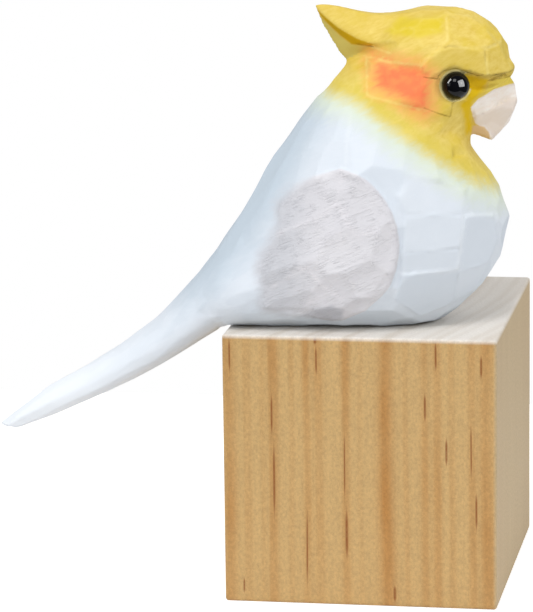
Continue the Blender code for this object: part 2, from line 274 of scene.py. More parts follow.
# Body, then head: back x, z, front x, z, share of the width, place of the widest point
BODY = (
    (-31.4, 14.9, -28.2, -0.5, 0.62, 0.50), (-26.9, 21.7, -10.5, -0.8, 0.76, 0.52),
    (-22.9, 28.1, 4.0, -1.2, 0.89, 0.50), (-19.2, 33.9, 17.0, 0.0, 0.97, 0.49),
    (-15.6, 39.6, 26.2, 6.6, 1.0, 0.48), (-12.7, 43.7, 31.3, 14.4, 0.99, 0.47),
    (-9.9, 47.4, 33.3, 22.9, 0.95, 0.46), (-7.0, 51.1, 31.2, 29.8, 0.88, 0.46),
    (-4.4, 54.4, 28.0, 35.2, 0.81, 0.46), (-2.1, 57.3, 25.5, 39.6, 0.755, 0.47),
)
HEAD = (
    (-0.4, 58.6, 25.1, 42.6, 1.03, 0.50), (1.6, 60.0, 26.2, 46.8, 1.02, 0.53),
    (2.8, 61.0, 30.6, 51.0, 1.0, 0.49), (3.8, 62.2, 34.7, 55.2, 0.985, 0.45),
    (4.5, 63.9, 33.6, 60.3, 0.92, 0.47), (6.7, 66.4, 30.3, 65.0, 0.74, 0.48),
    (9.9, 68.1, 26.2, 67.9, 0.48, 0.50), (12.6, 69.0, 22.6, 69.1, 0.26, 0.50),
)


def catmull(rows, steps):
    """Rows of values read along a Catmull-Rom curve, with the given number of steps from row to row."""
    padded = np.vstack([2 * rows[0] - rows[1], rows, 2 * rows[-1] - rows[-2]])
    t = (np.arange(steps) / steps)[None, :, None]
    p0, p1, p2, p3 = (padded[i:len(padded) - 3 + i, None, :] for i in range(4))
    second = 2 * p0 - 5 * p1 + 4 * p2 - p3
    third = 3 * p1 - p0 - 3 * p2 + p3
    curve = 0.5 * (2 * p1 + (p2 - p0) * t + second * t ** 2 + third * t ** 3)
    return np.vstack([curve.reshape(-1, rows.shape[1]), rows[-1:]])


def closed_skin(rings):
    """Points and faces of a skin through rings of points, each end closed to a point at its middle."""
    rows, columns = rings.shape[:2]
    points = np.vstack([rings.reshape(-1, 3), rings[0].mean(0), rings[-1].mean(0)])
    quads = grid_faces(rows, columns, around=True)
    j = np.arange(columns)
    k = (j + 1) % columns
    first = np.stack([k, j, np.full(columns, rows * columns)], -1)
    last = np.stack([j, k, np.full(columns, rows * columns + 1)], -1)
    last[:, :2] += (rows - 1) * columns
    return points, quads, np.vstack([first, last])


tail_rows = []
for along, hollow, thick, wide, lean in TAIL:
    top = RUMP - TAIL_LENGTH * along * np.array([math.cos(TAIL_SLOPE), math.sin(TAIL_SLOPE)])
    top = top + hollow * np.array([math.sin(TAIL_SLOPE), -math.cos(TAIL_SLOPE)])
    lean = math.radians(lean)
    under = top + TAIL_THICKNESS * thick * np.array([math.cos(lean), -math.sin(lean)])
    tail_rows.append((*top, *under, TAIL_WIDTH / 2.0 * wide, 0.5))
breast_rows = [(*row[:4], BODY_WIDTH / 2.0 * row[4], row[5]) for row in BODY]
head_rows = [(*row[:4], HEAD_WIDTH / 2.0 * row[4], row[5]) for row in HEAD]


def spine_surface(rows, steps, corners):
    """Ring at each place along the spine: from back to front along a straight line, at a share that goes
    as the half cosine of the turn to a power, and out to each side as the half width times its sine."""
    fine = catmull(np.array(rows), steps)
    turn = np.linspace(0.0, 2.0 * math.pi, corners, endpoint=False)[None, :]
    power = np.log(fine[:, 5:6]) / math.log(0.5)
    along = ((1.0 - np.cos(turn)) / 2.0) ** power
    x = fine[:, 0:1] + (fine[:, 2:3] - fine[:, 0:1]) * along
    z = fine[:, 1:2] + (fine[:, 3:4] - fine[:, 1:2]) * along
    y = -fine[:, 4:5] * np.sin(turn)
    return np.stack([x, y, z], -1)


body_rings = spine_surface(tail_rows + breast_rows + head_rows, steps=8, corners=96)

# Crest: top, side ridge, lower ridge and keel as x, z, and the half widths of the two ridges
CREST = (
    (-8.5, 70.2, -8.55, 69.9, -8.5, 69.7, -8.4, 69.5, 0.5, 0.3),
    (-6.3, 70.1, -6.3, 67.7, -6.5, 66.8, -7.2, 66.3, 1.8, 0.9),
    (-3.1, 69.6, -3.6, 65.5, -3.3, 63.6, -5.0, 62.2, 3.0, 1.6),
    (1.3, 68.5, 0.4, 63.3, -0.8, 61.7, -1.8, 57.6, 4.4, 2.9),
    (5.6, 67.9, 3.7, 62.2, 3.3, 61.5, 1.6, 56.6, 5.8, 4.6),
    (10.0, 68.2, 8.0, 62.6, 7.0, 60.0, 5.0, 56.0, 8.6, 6.0),
    (17.5, 68.6, 16.0, 63.5, 16.0, 58.0, 14.0, 55.0, 9.0, 7.0),
)


def polygon_skin(corner_rows, steps, per_side):
    """Rings of straight sides between corners that run along Catmull-Rom curves from section to section."""
    count = corner_rows.shape[1]
    fine = catmull(corner_rows.reshape(len(corner_rows), -1), steps).reshape(-1, count, 3)
    t = (np.arange(per_side) / per_side)[None, None, :, None]
    sides = fine[:, :, None, :] * (1.0 - t) + np.roll(fine, -1, axis=1)[:, :, None, :] * t
    return sides.reshape(len(fine), -1, 3)


# Going round the crest: the column of x, the column of the half width, and the share of it on that side
CREST_ROUND = (
    (0, 8, -0.34), (2, 8, -1.0), (4, 9, -1.0), (6, 9, 0.0), (4, 9, 1.0), (2, 8, 1.0), (0, 8, 0.34),
)
rows = np.array(CREST)
crest_corners = np.stack([
    np.stack([rows[:, column], rows[:, width] * share, rows[:, column + 1]], -1)
    for column, width, share in CREST_ROUND
], 1)
crest_rings = polygon_skin(crest_corners, steps=6, per_side=6)

# Beak, from the top down: height, back x, front x, half width at the root and at the ridge
BEAK = (
    (53.1, 23.0, 34.2, 4.4, 2.1), (51.9, 23.0, 34.9, 4.8, 2.4), (49.6, 22.0, 35.2, 5.2, 2.9),
    (46.9, 22.0, 34.9, 5.2, 2.7), (44.1, 22.0, 33.5, 4.5, 2.2), (41.9, 25.2, 32.0, 2.9, 1.8),
    (40.2, 28.5, 30.3, 1.4, 0.9),
)
# Its side bulges at a share of the way to the front, and its ridge is flat over a share of its width.
BEAK_MIDDLE, BEAK_BULGE, BEAK_RIDGE = 0.62, 1.08, 0.45
rows = np.array(BEAK)
middle = rows[:, 1] + (rows[:, 2] - rows[:, 1]) * BEAK_MIDDLE
half = (rows[:, 3] + rows[:, 4]) / 2.0 * BEAK_BULGE
beak_corners = np.stack([
    np.stack([x, y, rows[:, 0]], -1)
    for x, y in (
        (rows[:, 1], -rows[:, 3]), (middle, -half), (rows[:, 2], -rows[:, 4] * BEAK_RIDGE),
        (rows[:, 2], rows[:, 4] * BEAK_RIDGE), (middle, half), (rows[:, 1], rows[:, 3]),
    )
], 1)
beak_rings = polygon_skin(beak_corners, steps=4, per_side=6)

# The three are laid together and given one even skin.
VOXEL = 0.44
rough = bpy.data.meshes.new("rough_bird")
all_points, all_faces = [], []
for rings in (body_rings, crest_rings, beak_rings):
    ring_points, ring_quads, ring_ends = closed_skin(rings)
    start = sum(len(other) for other in all_points)
    all_points.append(ring_points)
    all_faces += (ring_quads + start).tolist() + (ring_ends + start).tolist()
rough.from_pydata(np.concatenate(all_points).tolist(), [], all_faces)
rough_bird = bpy.data.objects.new("rough_bird", rough)
scene.collection.objects.link(rough_bird)
step = rough_bird.modifiers.new("even_skin", "REMESH")
step.mode = "VOXEL"
step.voxel_size = VOXEL
evaluated = rough_bird.evaluated_get(bpy.context.evaluated_depsgraph_get())
skin = evaluated.to_mesh()


def read(members, key, width, kind):
    """One property of all the members of a mesh, as the rows of an array."""
    values = np.empty(len(members) * width, kind)
    members.foreach_get(key, values)
    return values.reshape(-1, width)


points = read(skin.vertices, "co", 3, float)
edges = read(skin.edges, "vertices", 2, np.int32)
quads = read(skin.loops, "vertex_index", 1, np.int32).reshape(-1, 4)
evaluated.to_mesh_clear()
bpy.data.objects.remove(rough_bird)


def smoothed(values, rounds):
    """Each round moves a value half way to the mean of its neighbours along the edges of the skin."""
    count = np.bincount(edges.ravel(), minlength=len(values))[:, None]
    for _ in range(rounds):
        total = np.zeros_like(values)
        for axis in range(values.shape[1]):
            total[:, axis] = np.bincount(edges[:, 0], values[edges[:, 1], axis], len(values))
            total[:, axis] += np.bincount(edges[:, 1], values[edges[:, 0], axis], len(values))
        values = values + (total / count - values) * 0.5
    return values


def point_normals(where):
    """Mean of the normals of the faces round each point, weighted by area."""
    across = where[quads[:, 2]] - where[quads[:, 0]]
    other = where[quads[:, 3]] - where[quads[:, 1]]
    flat = np.cross(across, other)
    total = np.zeros_like(where)
    for corner in range(4):
        for axis in range(3):
            total[:, axis] += np.bincount(quads[:, corner], flat[:, axis], len(where))
    return total / np.maximum(np.linalg.norm(total, axis=1, keepdims=True), 1e-12)


def ramp(value, low, high):
    """Zero below low, one above high, and a smooth step between."""
    t = np.clip((value - low) / (high - low), 0.0, 1.0)
    return t * t * (3.0 - 2.0 * t)


def to_segment(a, b):
    """Distance in side view from each point to the nearest place on the straight line from a to b."""
    x, z = points[:, 0] - a[0], points[:, 2] - a[1]
    t = np.clip((x * (b[0] - a[0]) + z * (b[1] - a[1])) / ((b[0] - a[0]) ** 2 + (b[1] - a[1]) ** 2), 0.0, 1.0)
    return np.hypot(x - (b[0] - a[0]) * t, z - (b[1] - a[1]) * t)


def inside_by(outline):
    """Distance of each point in from a closed outline in side view, negative outside it: the distance to
    the nearest side, signed by whether the number of sides in front of the point is odd."""
    corners = np.array(outline)
    x, z = points[:, 0], points[:, 2]
    best = np.full(len(points), 1e9)
    odd = np.zeros(len(points), bool)
    for a, b in zip(corners, np.roll(corners, -1, axis=0)):
        best = np.minimum(best, to_segment(a, b))
        if a[1] != b[1]:
            odd ^= ((a[1] > z) != (b[1] > z)) & (x < a[0] + (z - a[1]) * (b[0] - a[0]) / (b[1] - a[1]))
    return np.where(odd, best, -best)


points = smoothed(points, rounds=4)
normals = smoothed(point_normals(points), rounds=6)
normals /= np.linalg.norm(normals, axis=1, keepdims=True)

# Knife flats: x and z of the middle, the angle of the cut, and how narrow it is for its length. They lie
# on the near flank as listed and on the far one a little moved and turned, and more flats fill the rest.
FLATS = (
    (-2.6, 51.6, 60, 0.7), (0.9, 55.6, 60, 0.6), (-6.6, 44.6, 62, 0.6), (-11.5, 36.0, 60, 0.6),
    (1.7, 42.6, 80, 0.8), (7.0, 41.0, 85, 0.8), (13.4, 38.4, 90, 0.8), (19.9, 36.2, 90, 0.9),
    (26.9, 34.0, 90, 0.9), (12.6, 29.5, 90, 0.65), (19.9, 28.6, 90, 0.65), (26.6, 28.0, 90, 0.7),
    (31.8, 25.0, 90, 0.7), (12.4, 20.4, 90, 0.8), (19.4, 20.4, 90, 0.8), (26.3, 20.0, 90, 0.8),
    (30.6, 15.6, 90, 0.8), (13.0, 9.4, 0, 0.8), (21.0, 10.2, 0, 0.8), (27.2, 11.0, 60, 0.8),
    (5.0, 3.0, 0, 0.55), (16.0, 3.2, 0, 0.55), (-16.5, 37.5, 56, 0.33), (-17.6, 28.4, 55, 0.5),
    (-24.4, 18.4, 48, 0.45), (-25.0, 11.0, 40, 0.6), (-29.5, 3.6, 30, 0.6), (-44.5, 0.6, 36, 0.28),
    (-43.0, -4.4, 38, 0.28), (-62.0, -13.0, 35, 0.28), (-63.0, -17.2, 36, 0.28), (9.0, 57.0, 0, 0.9),
    (9.6, 50.8, 0, 0.9), (4.6, 48.8, 60, 0.8), (13.0, 46.2, 30, 0.8), (20.0, 43.4, 60, 0.8),
    (25.0, 39.6, 70, 0.8), (11.4, 62.4, 25, 0.7), (15.4, 66.6, 5, 0.7), (14.8, 59.4, 50, 0.7),
    (22.4, 59.9, 0, 0.8), (24.4, 65.6, -20, 0.8), (28.0, 61.4, -40, 0.8), (31.8, 58.2, 60, 0.8),
    (30.4, 63.4, -50, 0.8),
)
# Wing flats lie on the wing only, and beak flats on the beak.
WING_FLATS = (
    (-11.8, 28.8, 38, 0.7), (1.6, 29.0, 75, 0.7), (-13.0, 20.6, 28, 0.55), (-2.6, 19.4, 30, 0.7),
    (-14.0, 11.6, 28, 0.6), (1.6, 12.6, 60, 0.8),
)
BEAK_FLATS = (
    (32.0, 50.2, 25, 0.8), (28.6, 47.0, 30, 0.7), (31.6, 45.4, 50, 0.8), (29.6, 42.4, 50, 0.8),
    (34.6, 48.0, 80, 0.7),
)
WING = (
    (-3.8, 36.8), (0.8, 35.2), (4.2, 32.2), (6.8, 28.4), (8.3, 24.0), (8.7, 18.8), (7.7, 13.4),
    (5.2, 8.8), (0.6, 4.8), (-5.4, 2.2), (-12.0, 3.6), (-20.6, 5.0), (-21.0, 9.6), (-22.0, 15.2),
    (-19.6, 19.8), (-17.4, 24.4), (-17.2, 28.6), (-11.6, 33.6),
)
WING_RELIEF = 0.8
BEAK_EDGE = (
    (25.5, 48.4), (28.6, 51.0), (31.6, 52.1), (33.4, 52.4), (38.0, 52.6), (38.0, 38.0), (27.6, 38.0),
    (27.2, 41.0), (26.2, 43.0), (25.6, 45.6),
)
wing_round = catmull(np.array(WING + WING[:1]), 4)[:-1]
side = np.where(points[:, 1] < 0.0, -1.0, 1.0)
flank = np.abs(normals[:, 1])
wing_in = inside_by(wing_round)
wing_in = np.where((np.abs(points[:, 1]) > 5.0) & (flank > 0.25), wing_in, -5.0)
beak_in = inside_by(BEAK_EDGE)
zone = np.where(wing_in > 0.0, 1, np.where(beak_in > 0.0, 2, 0))

knife = np.random.default_rng(7)
centres, grains = [], []
for kind, flats in enumerate((FLATS, WING_FLATS, BEAK_FLATS)):
    for x, z, angle, narrow in flats:
        for hand in (-1.0, 1.0):
            dx, dz, turn = (0.0, 0.0, 0.0) if hand < 0 else knife.uniform(-1.0, 1.0, 3)
            far = np.hypot(points[:, 0] - x - dx, points[:, 2] - z - dz)
            own = (side == hand) & (flank > 0.2) & (zone == kind)
            centres.append(int(np.argmin(np.where(own, far, 1e9))))
            grains.append((math.radians(angle + 8.0 * turn), narrow))


def stretched_gap(where, centre, grain):
    """Squared distance, with the part along the knife's cut shortened by the flat's narrowness."""
    away = where - centre
    along = away[:, 0] * math.cos(grain[0]) + away[:, 2] * math.sin(grain[0])
    return np.sum(away ** 2, axis=1) - (1.0 - grain[1] ** 2) * along ** 2


# The point that lies farthest from the plane of its flat takes the next one, until none is far off, so
# that the flats are broad on the flanks and narrow where the form turns.
FLAT_REACH = 7.5
FLAT_HEIGHT = 0.50
MOST_FLATS = 500
FACE = (
    (13.5, 57.0), (24.0, 58.6), (36.5, 56.6), (36.5, 52.0), (28.0, 49.0), (27.0, 40.0), (21.5, 40.0),
    (21.5, 46.0), (13.5, 48.0),
)
face_zone = ramp(inside_by(FACE), -1.5, 1.0)
CREST_AREA = (
    (-10.0, 72.0), (8.0, 72.0), (8.0, 65.0), (4.6, 61.6), (-1.2, 57.0), (-3.5, 57.5), (-7.0, 62.0),
    (-10.0, 70.0),
)
crest_zone = ramp(inside_by(CREST_AREA), -0.6, 1.4)
faceting = (1.0 - face_zone) * (1.0 - crest_zone)
reach, height = np.full(len(points), 1e9), np.full(len(points), 1e9)
allowed = FLAT_HEIGHT * (1.0 + 0.6 * ramp(points[:, 0], -26.0, -18.0) * ramp(points[:, 2], 46.0, 36.0))


def lift_to(k):
    """Distance from each point, along its own normal, to the plane that touches the form at point k."""
    return ((points[k] - points) @ normals[k]) / np.maximum(normals @ normals[k], 0.3)


def cover(k, grain):
    """Takes the points that lie nearer to the flat at point k than to any before it."""
    gap = np.where(zone == zone[k], stretched_gap(points, points[k], grain), 1e9)
    closer = gap < reach
    reach[closer] = gap[closer]
    height[closer] = np.abs(lift_to(k))[closer]


for k, grain in zip(centres, grains):
    cover(k, grain)
while len(centres) < MOST_FLATS:
    need = np.maximum(reach / FLAT_REACH ** 2, height / allowed * (reach > 3.0)) * (faceting > 0.3)
    if need.max() < 1.0:
        break
    k = int(np.argmax(np.minimum(need, 4.0) * knife.uniform(0.8, 1.0, len(need))))
    # Cuts run along the tail, and along the back's slope elsewhere.
    grain = (math.radians(36.0), 0.3) if points[k, 0] < -24.0 else (math.radians(56.0), 0.7)
    centres.append(k)
    grains.append(grain)
    cover(k, grain)
centres = np.array(centres)
at, facing = points[centres], normals[centres]

# Every flat is a plane at the mean height of the form over its own patch, dished a little by the knife.
# Where planes cross, the innermost one counts, and the ridge between them is rounded by the paint. Each
# flat also has a tone of its own, since every stroke of the brush leaves more or less paint.
RIDGE_ROUND = 0.05
DISH = 1.0 / 70.0
tones = knife.uniform(-1.0, 1.0, len(centres))


def flat_field(kind, hollow):
    """Three rows for the flats of one kind: the distance out to them, how close each point is to a ridge
    between two of them, and the tone of its flat. A hollow adds to the dish of each flat."""
    chosen = np.array([i for i, k in enumerate(centres) if zone[k] == kind])
    gaps = np.array([stretched_gap(points, at[i], grains[i]) for i in chosen], np.float32)
    lifts = np.array([np.clip(lift_to(centres[i]), -0.25, 1.5) for i in chosen], np.float32)
    lifts = lifts + gaps * (DISH + hollow / 30.0)
    owner = gaps.argmin(axis=0)
    owned = lifts[owner, np.arange(len(points))] * (zone == kind)
    patch_points = np.maximum(np.bincount(owner, zone == kind, len(chosen)), 1.0)
    mean = np.bincount(owner, owned, len(chosen)) / patch_points
    lifts += np.maximum(gaps - 55.0, 0.0) * 0.05 - mean[:, None].astype(np.float32)
    order = np.argpartition(lifts, 1, axis=0)[:2]
    first, second = np.take_along_axis(lifts, order, axis=0)
    least = np.minimum(first, second)
    field = least - RIDGE_ROUND * np.log(np.exp((least - lifts) / RIDGE_ROUND).sum(axis=0))
    bend = np.linalg.norm(facing[chosen[order[0]]] - facing[chosen[order[1]]], axis=1)
    away = np.abs(first - second) / np.maximum(bend, 0.12)
    own_tone = tones[chosen]
    lean = ramp((second - first) / np.maximum(bend, 0.12), -0.35, 0.35)
    tone = own_tone[order[1]] + (own_tone[order[0]] - own_tone[order[1]]) * lean
    return np.stack([field, (1.0 - ramp(away, 0.15, 0.75)) * np.minimum(bend / 0.3, 1.0), tone])


cut = flat_field(0, hollow=0.0)
cut += ramp(wing_in, 0.0, 1.6) * (flat_field(1, hollow=0.3) - cut)
cut += ramp(beak_in, -0.2, 0.3) * (flat_field(2, hollow=0.0) - cut)
offset, ridges, flat_tone = cut
# The skin goes in a little all over, and out on the thin tail, to keep to the outline of the form.
SKIN_IN, TAIL_OUT = 0.02, 0.16
offset = offset - SKIN_IN + TAIL_OUT * ramp(points[:, 0], -22.0, -30.0)

# Broad flats, each cut to its own outline: x and z of the corners, how much more it leans in towards the
# front and towards the top than the form it is cut from, how wide its edge is rounded, and its tone, which
# is painted light and shade that makes the flat lighter or darker as the light falls on it
PANELS = (
    (((14.4, 56.6), (13.9, 58.1), (15.1, 59.9), (17.8, 61.8), (20.2, 62.3), (22.8, 62.0), (27.8, 61.4),
      (28.3, 55.0), (26.3, 54.8), (21.2, 57.2)), 0.0, -0.10, 0.6, 0.35),
    (((19.6, 63.6), (19.7, 68.0), (25.7, 67.6), (31.2, 62.0), (27.8, 61.4), (22.8, 62.0), (20.2, 62.3),
      (17.8, 61.8)), 0.0, 0.10, 0.6, -0.3),
    (((28.3, 55.0), (27.8, 61.4), (31.2, 62.0), (34.4, 55.0)), 0.0, 0.0, 0.6, 0.0),
    (((2.4, 52.0), (2.4, 59.1), (13.9, 58.1), (14.4, 55.5), (14.6, 49.0), (9.0, 50.4)), 0.0, 0.04, 1.8,
      -0.3),
    (((25.2, 48.1), (26.5, 49.9), (28.5, 50.8), (30.0, 51.6), (34.8, 52.1), (35.4, 49.2), (32.9, 49.3),
      (28.5, 46.8), (25.6, 45.9)), 0.0, 0.30, 0.6, -1.0),
    (((25.6, 45.9), (28.5, 46.8), (32.9, 49.3), (35.4, 49.2), (34.6, 46.5), (32.5, 43.0), (30.5, 40.5),
      (29.3, 41.7), (28.0, 43.3), (25.8, 43.8)), 0.0, -0.32, 0.6, 1.0),
    (((22.9, 26.1), (29.6, 25.2), (30.9, 19.4), (28.5, 14.0), (21.6, 13.6)), 0.0, 0.0, 0.7, 0.5),
    (((10.2, 26.8), (22.9, 26.1), (22.1, 18.7), (9.3, 18.5)), 0.0, 0.0, 0.7, -0.6),
    (((9.3, 18.5), (22.1, 18.7), (21.6, 13.6), (9.3, 14.0)), 0.0, 0.0, 0.7, 0.0),
    (((11.7, 35.8), (23.6, 31.8), (22.9, 26.1), (10.2, 26.8), (8.2, 31.0)), 0.0, 0.0, 1.7, -1.0),
    (((9.3, 14.0), (21.6, 13.6), (21.2, 5.4), (13.5, 2.7), (8.0, 7.7)), 0.0, 0.0, 0.7, 0.9),
    (((21.6, 13.6), (28.5, 14.0), (25.8, 7.7), (21.2, 5.4)), 0.0, 0.0, 0.7, 0.2),
)
PANEL_MOST = 0.6
panel_share = np.zeros(len(points))
panel_out = np.zeros(len(points))
panel_edge = np.full(len(points), 9.0)
for outline, lean_front, lean_top, soft, tone in PANELS:
    depth_in = inside_by(outline)
    within = ramp(depth_in, -0.4 * soft, 0.6 * soft) * ramp(flank, 0.2, 0.4)
    for hand in (-1.0, 1.0):
        own = (side == hand) & (within > 0.5)
        middle = points[own].mean(axis=0)
        there = np.column_stack([np.ones(own.sum()), points[own][:, [0, 2]] - middle[[0, 2]]])
        fit = np.linalg.lstsq(there, np.abs(points[own, 1]), rcond=None)[0] - (0.0, lean_front, lean_top)
        mine = (side == hand) & (within > panel_share)
        plane = fit[0] + (points[mine][:, [0, 2]] - middle[[0, 2]]) @ fit[1:]
        panel_out[mine] = plane - np.abs(points[mine, 1])
        panel_share[mine] = within[mine]
        flat_tone[mine] += (tone - flat_tone[mine]) * within[mine]
    panel_edge = np.minimum(panel_edge, np.where(flank > 0.3, np.abs(depth_in) + (soft > 1.0), 9.0))
points = points + normals * (offset * faceting * (1.0 - panel_share))[:, None]
points[:, 1] += side * np.clip(panel_out, -PANEL_MOST, PANEL_MOST) * panel_share
wing_rise = ramp(wing_in, -0.35, 0.45) * ramp(points[:, 0], -19.0, -9.0)
points[:, 1] += side * WING_RELIEF * wing_rise

# Face: the cheek is cut back round the eye, which leaves the brow standing, with a deeper wedge in front.
FACE_CUT = np.array([
    (14.4, 55.1, 49.2, 13.9), (16.2, 55.9, 48.5, 13.0), (18.8, 57.2, 47.4, 12.3), (21.6, 57.3, 46.2, 11.6),
    (24.6, 56.5, 45.2, 9.8), (27.8, 55.4, 44.4, 7.6), (31.2, 55.5, 43.6, 5.9), (37.0, 54.9, 43.0, 3.6),
])
BROW_CUT = np.array([
    (22.6, 56.2, 53.4, 9.6), (26.0, 55.6, 52.2, 7.4), (31.0, 55.2, 52.8, 5.0), (37.0, 54.6, 53.3, 1.4),
])
THROAT_CUT = np.array([
    (20.6, 50.4, 38.0, 11.4), (22.0, 50.2, 38.0, 10.4), (24.6, 49.6, 38.0, 8.6),
    (27.8, 49.0, 38.0, 7.0),
])
for cut in (FACE_CUT, BROW_CUT, THROAT_CUT):
    x, z = points[:, 0], points[:, 2]
    top = np.interp(x, cut[:, 0], cut[:, 1])
    foot = np.interp(x, cut[:, 0], cut[:, 2])
    left = np.interp(x, cut[:, 0], cut[:, 3])
    within = np.minimum(np.minimum(np.minimum(top - z, z - foot), x - cut[0, 0]), cut[-1, 0] - x)
    depth = np.maximum(np.abs(points[:, 1]) - left, 0.0) * ramp(within, -0.2, 0.3)
    points[:, 1] -= side * depth

# Sockets for the beads, then the flat on which the bird sits
EYE_DIAMETER = 6.0
EYE = np.array([21.4, 11.2, 53.6])
SOCKET_PLAY = 0.08
bowl = EYE_DIAMETER / 2.0 + SOCKET_PLAY
lid = np.stack([points[:, 0] - EYE[0], points[:, 2] - EYE[2]], -1)
gap = np.hypot(lid[:, 0], lid[:, 1])
at_eye = (np.abs(points[:, 1]) > 7.0) & (flank > 0.2)
# The skin falls to just over the bead's middle all round it, and its points gather on the socket's rim.
rim_y = EYE[1] + 0.12 + np.maximum(gap - bowl, 0.0) * 0.45
rim_share = np.where(at_eye, 1.0 - ramp(gap, bowl + 0.5, bowl + 1.8), 0.0)
points[:, 1] += side * (np.minimum(rim_y - np.abs(points[:, 1]), 0.0) * rim_share)
on_rim = at_eye & (np.abs(gap - bowl) < 0.22)
points[on_rim, 0] = EYE[0] + lid[on_rim, 0] / gap[on_rim] * bowl
points[on_rim, 2] = EYE[2] + lid[on_rim, 1] / gap[on_rim] * bowl
gap = np.where(on_rim, bowl, gap)
floor_y = EYE[1] - np.sqrt(np.maximum(bowl ** 2 - gap ** 2, 0.0))
in_bowl = (gap < bowl) & (np.abs(points[:, 1]) > floor_y)
points[:, 1] = np.where(in_bowl, side * floor_y, points[:, 1])
SEAT_GAP = 0.3
SEAT_BACK = -28.3
low_part = (points[:, 2] < SEAT_GAP) & (points[:, 0] > SEAT_BACK)
points[:, 2] = np.where(low_part, SEAT_GAP, points[:, 2])


def to_row(local):
    """Turns the bird's own places by the seat's angle and moves them to the seat, in metres."""
    x, y, z = local[..., 0], local[..., 1], local[..., 2]
    c, s = math.cos(TURN), math.sin(TURN)
    return (np.stack([x * c - y * s, x * s + y * c, z], -1) + SEAT) * MM


bird = mesh_object("carved_bird", to_row(points), quads)


def keep_on_points(piece, name, values):
    """Stores one number for each point of a mesh, for its material."""
    layer = piece.data.attributes.new(name, "FLOAT", "POINT")
    layer.data.foreach_set("value", values.astype(np.float32))


# Paint areas. Each is a distance from its edge in millimetres, and the material frays that edge. First
# the edge of the yellow round the neck, by its height over that line and the line's slope
COLLAR = np.array([
    (-9.0, 51.5), (-6.3, 51.1), (-2.4, 50.6), (1.2, 49.1), (6.0, 45.2), (11.3, 41.6), (17.8, 37.0),
    (24.4, 32.7), (31.3, 29.4), (36.0, 28.0),
])
x, z = points[:, 0], points[:, 2]
slope = np.interp(x, COLLAR[:, 0], np.gradient(COLLAR[:, 1], COLLAR[:, 0]))
above_collar = (z - np.interp(x, COLLAR[:, 0], COLLAR[:, 1])) / np.sqrt(1.0 + slope ** 2)
keep_on_points(bird, "collar", above_collar)
# The orange cheek, the beak and the bare wood under it, then where the yellow is thickest: in front of the
# eye and down the throat, where painted shade also darkens it under the brow, along the crest's side and in
# the wedge over the beak. Last, the painted shade on the wing's foot
PAINTED = {
    "cheek": (
        (3.2, 60.2), (9.7, 59.6), (13.3, 59.2), (16.4, 57.2), (17.0, 54.9), (16.8, 51.9), (16.4, 48.4),
        (14.4, 47.0), (11.8, 48.2), (9.4, 50.0), (6.8, 51.6), (3.2, 53.0), (3.0, 56.4),
    ),
    "beak": (
        (24.9, 48.2), (26.3, 50.0), (28.4, 50.9), (30.0, 51.7), (34.7, 52.4), (38.0, 52.4),
        (38.0, 38.0), (27.9, 38.0), (27.9, 42.6), (26.0, 44.2), (25.4, 46.0),
    ),
    "bare": (
        (25.4, 43.6), (26.2, 43.8), (27.9, 43.3), (29.0, 42.0), (29.3, 40.9), (29.2, 39.8),
        (26.4, 39.6), (25.2, 41.0),
    ),
    "lores": (
        (22.8, 56.0), (26.5, 55.0), (28.9, 53.9), (27.2, 51.4), (25.2, 49.6), (25.0, 46.0),
        (25.6, 42.0), (23.8, 42.0), (23.6, 45.0), (22.9, 47.5), (22.3, 49.4), (24.0, 50.8),
    ),
    "rich": ((6.4, 64.7), (9.8, 67.6), (19.0, 67.8), (18.6, 65.0), (13.0, 64.0)),
    "wedge": (
        (28.9, 53.8), (34.8, 54.5), (38.0, 54.4), (38.0, 52.3), (34.7, 52.3), (30.0, 51.7),
        (28.0, 50.8),
    ),
    "wing_shade": ((-14.0, 3.4), (-9.5, 6.0), (-5.9, 6.8), (-3.2, 5.4), (-3.4, 0.0), (-14.0, 0.4)),
}
for name, outline in PAINTED.items():
    keep_on_points(bird, name, inside_by(outline))
# Painted shade under the crest, over paint that is a darker olive there too: its cut-under end and the
# neck below it count only where the skin doesn't face up.
UNDER_PAINTED = {
    "undercut_shade": (
        (-8.9, 69.8), (-6.3, 67.5), (-3.6, 65.3), (0.4, 63.1), (3.9, 62.0), (3.5, 61.4), (-0.7, 61.7),
        (-3.2, 63.5), (-6.5, 66.7), (-8.6, 69.2),
    ),
    "under_crest_shade": (
        (-8.9, 69.4), (-6.5, 66.7), (-3.2, 63.5), (-0.7, 61.7), (3.5, 61.6), (-1.4, 57.9), (-1.8, 57.0),
        (-4.0, 58.5), (-9.0, 66.0),
    ),
}
for (name, outline), most_up in zip(UNDER_PAINTED.items(), (0.15, 0.3)):
    keep_on_points(bird, name, np.where(normals[:, 2] < most_up, inside_by(outline), -3.0))
# The wing's paint ends sharply in front and thins out towards the tail.
keep_on_points(bird, "wing", wing_in / (0.5 + 2.6 * (1.0 - ramp(x, -17.0, -6.0))))
# Distance in from the line of the back, where the white is turned grey as painted shade, less towards the
# neck and on the tail
BACK_LINE = np.array([(-80.0, -24.0), (-36.6, 8.8), (-22.9, 28.1), (-9.9, 47.4), (-2.1, 57.3)])
below_back = np.where(x > -42.0, np.interp(x, BACK_LINE[:, 0], BACK_LINE[:, 1]) - z, 30.0)
back_shade = 0.6 * below_back + 0.5 * np.maximum(-30.0 - x, 0.0) + 0.16 * np.maximum(x + 20.0, 0.0) - 4.0
keep_on_points(bird, "back", back_shade)
# Height under the breast and the underside, for painted shade that darkens the white towards the bottom, more
# towards the front and less on the tail
keep_on_points(bird, "belly_shade", 9.0 - z + 0.35 * np.maximum(x - 20.0, 0.0) - 2.0 * np.maximum(-24.0 - x, 0.0))
# Distance back along the tail, for painted light that pales the white towards its end, and for the wing's
# darker grey towards its back
keep_on_points(bird, "tail", -34.0 - x)
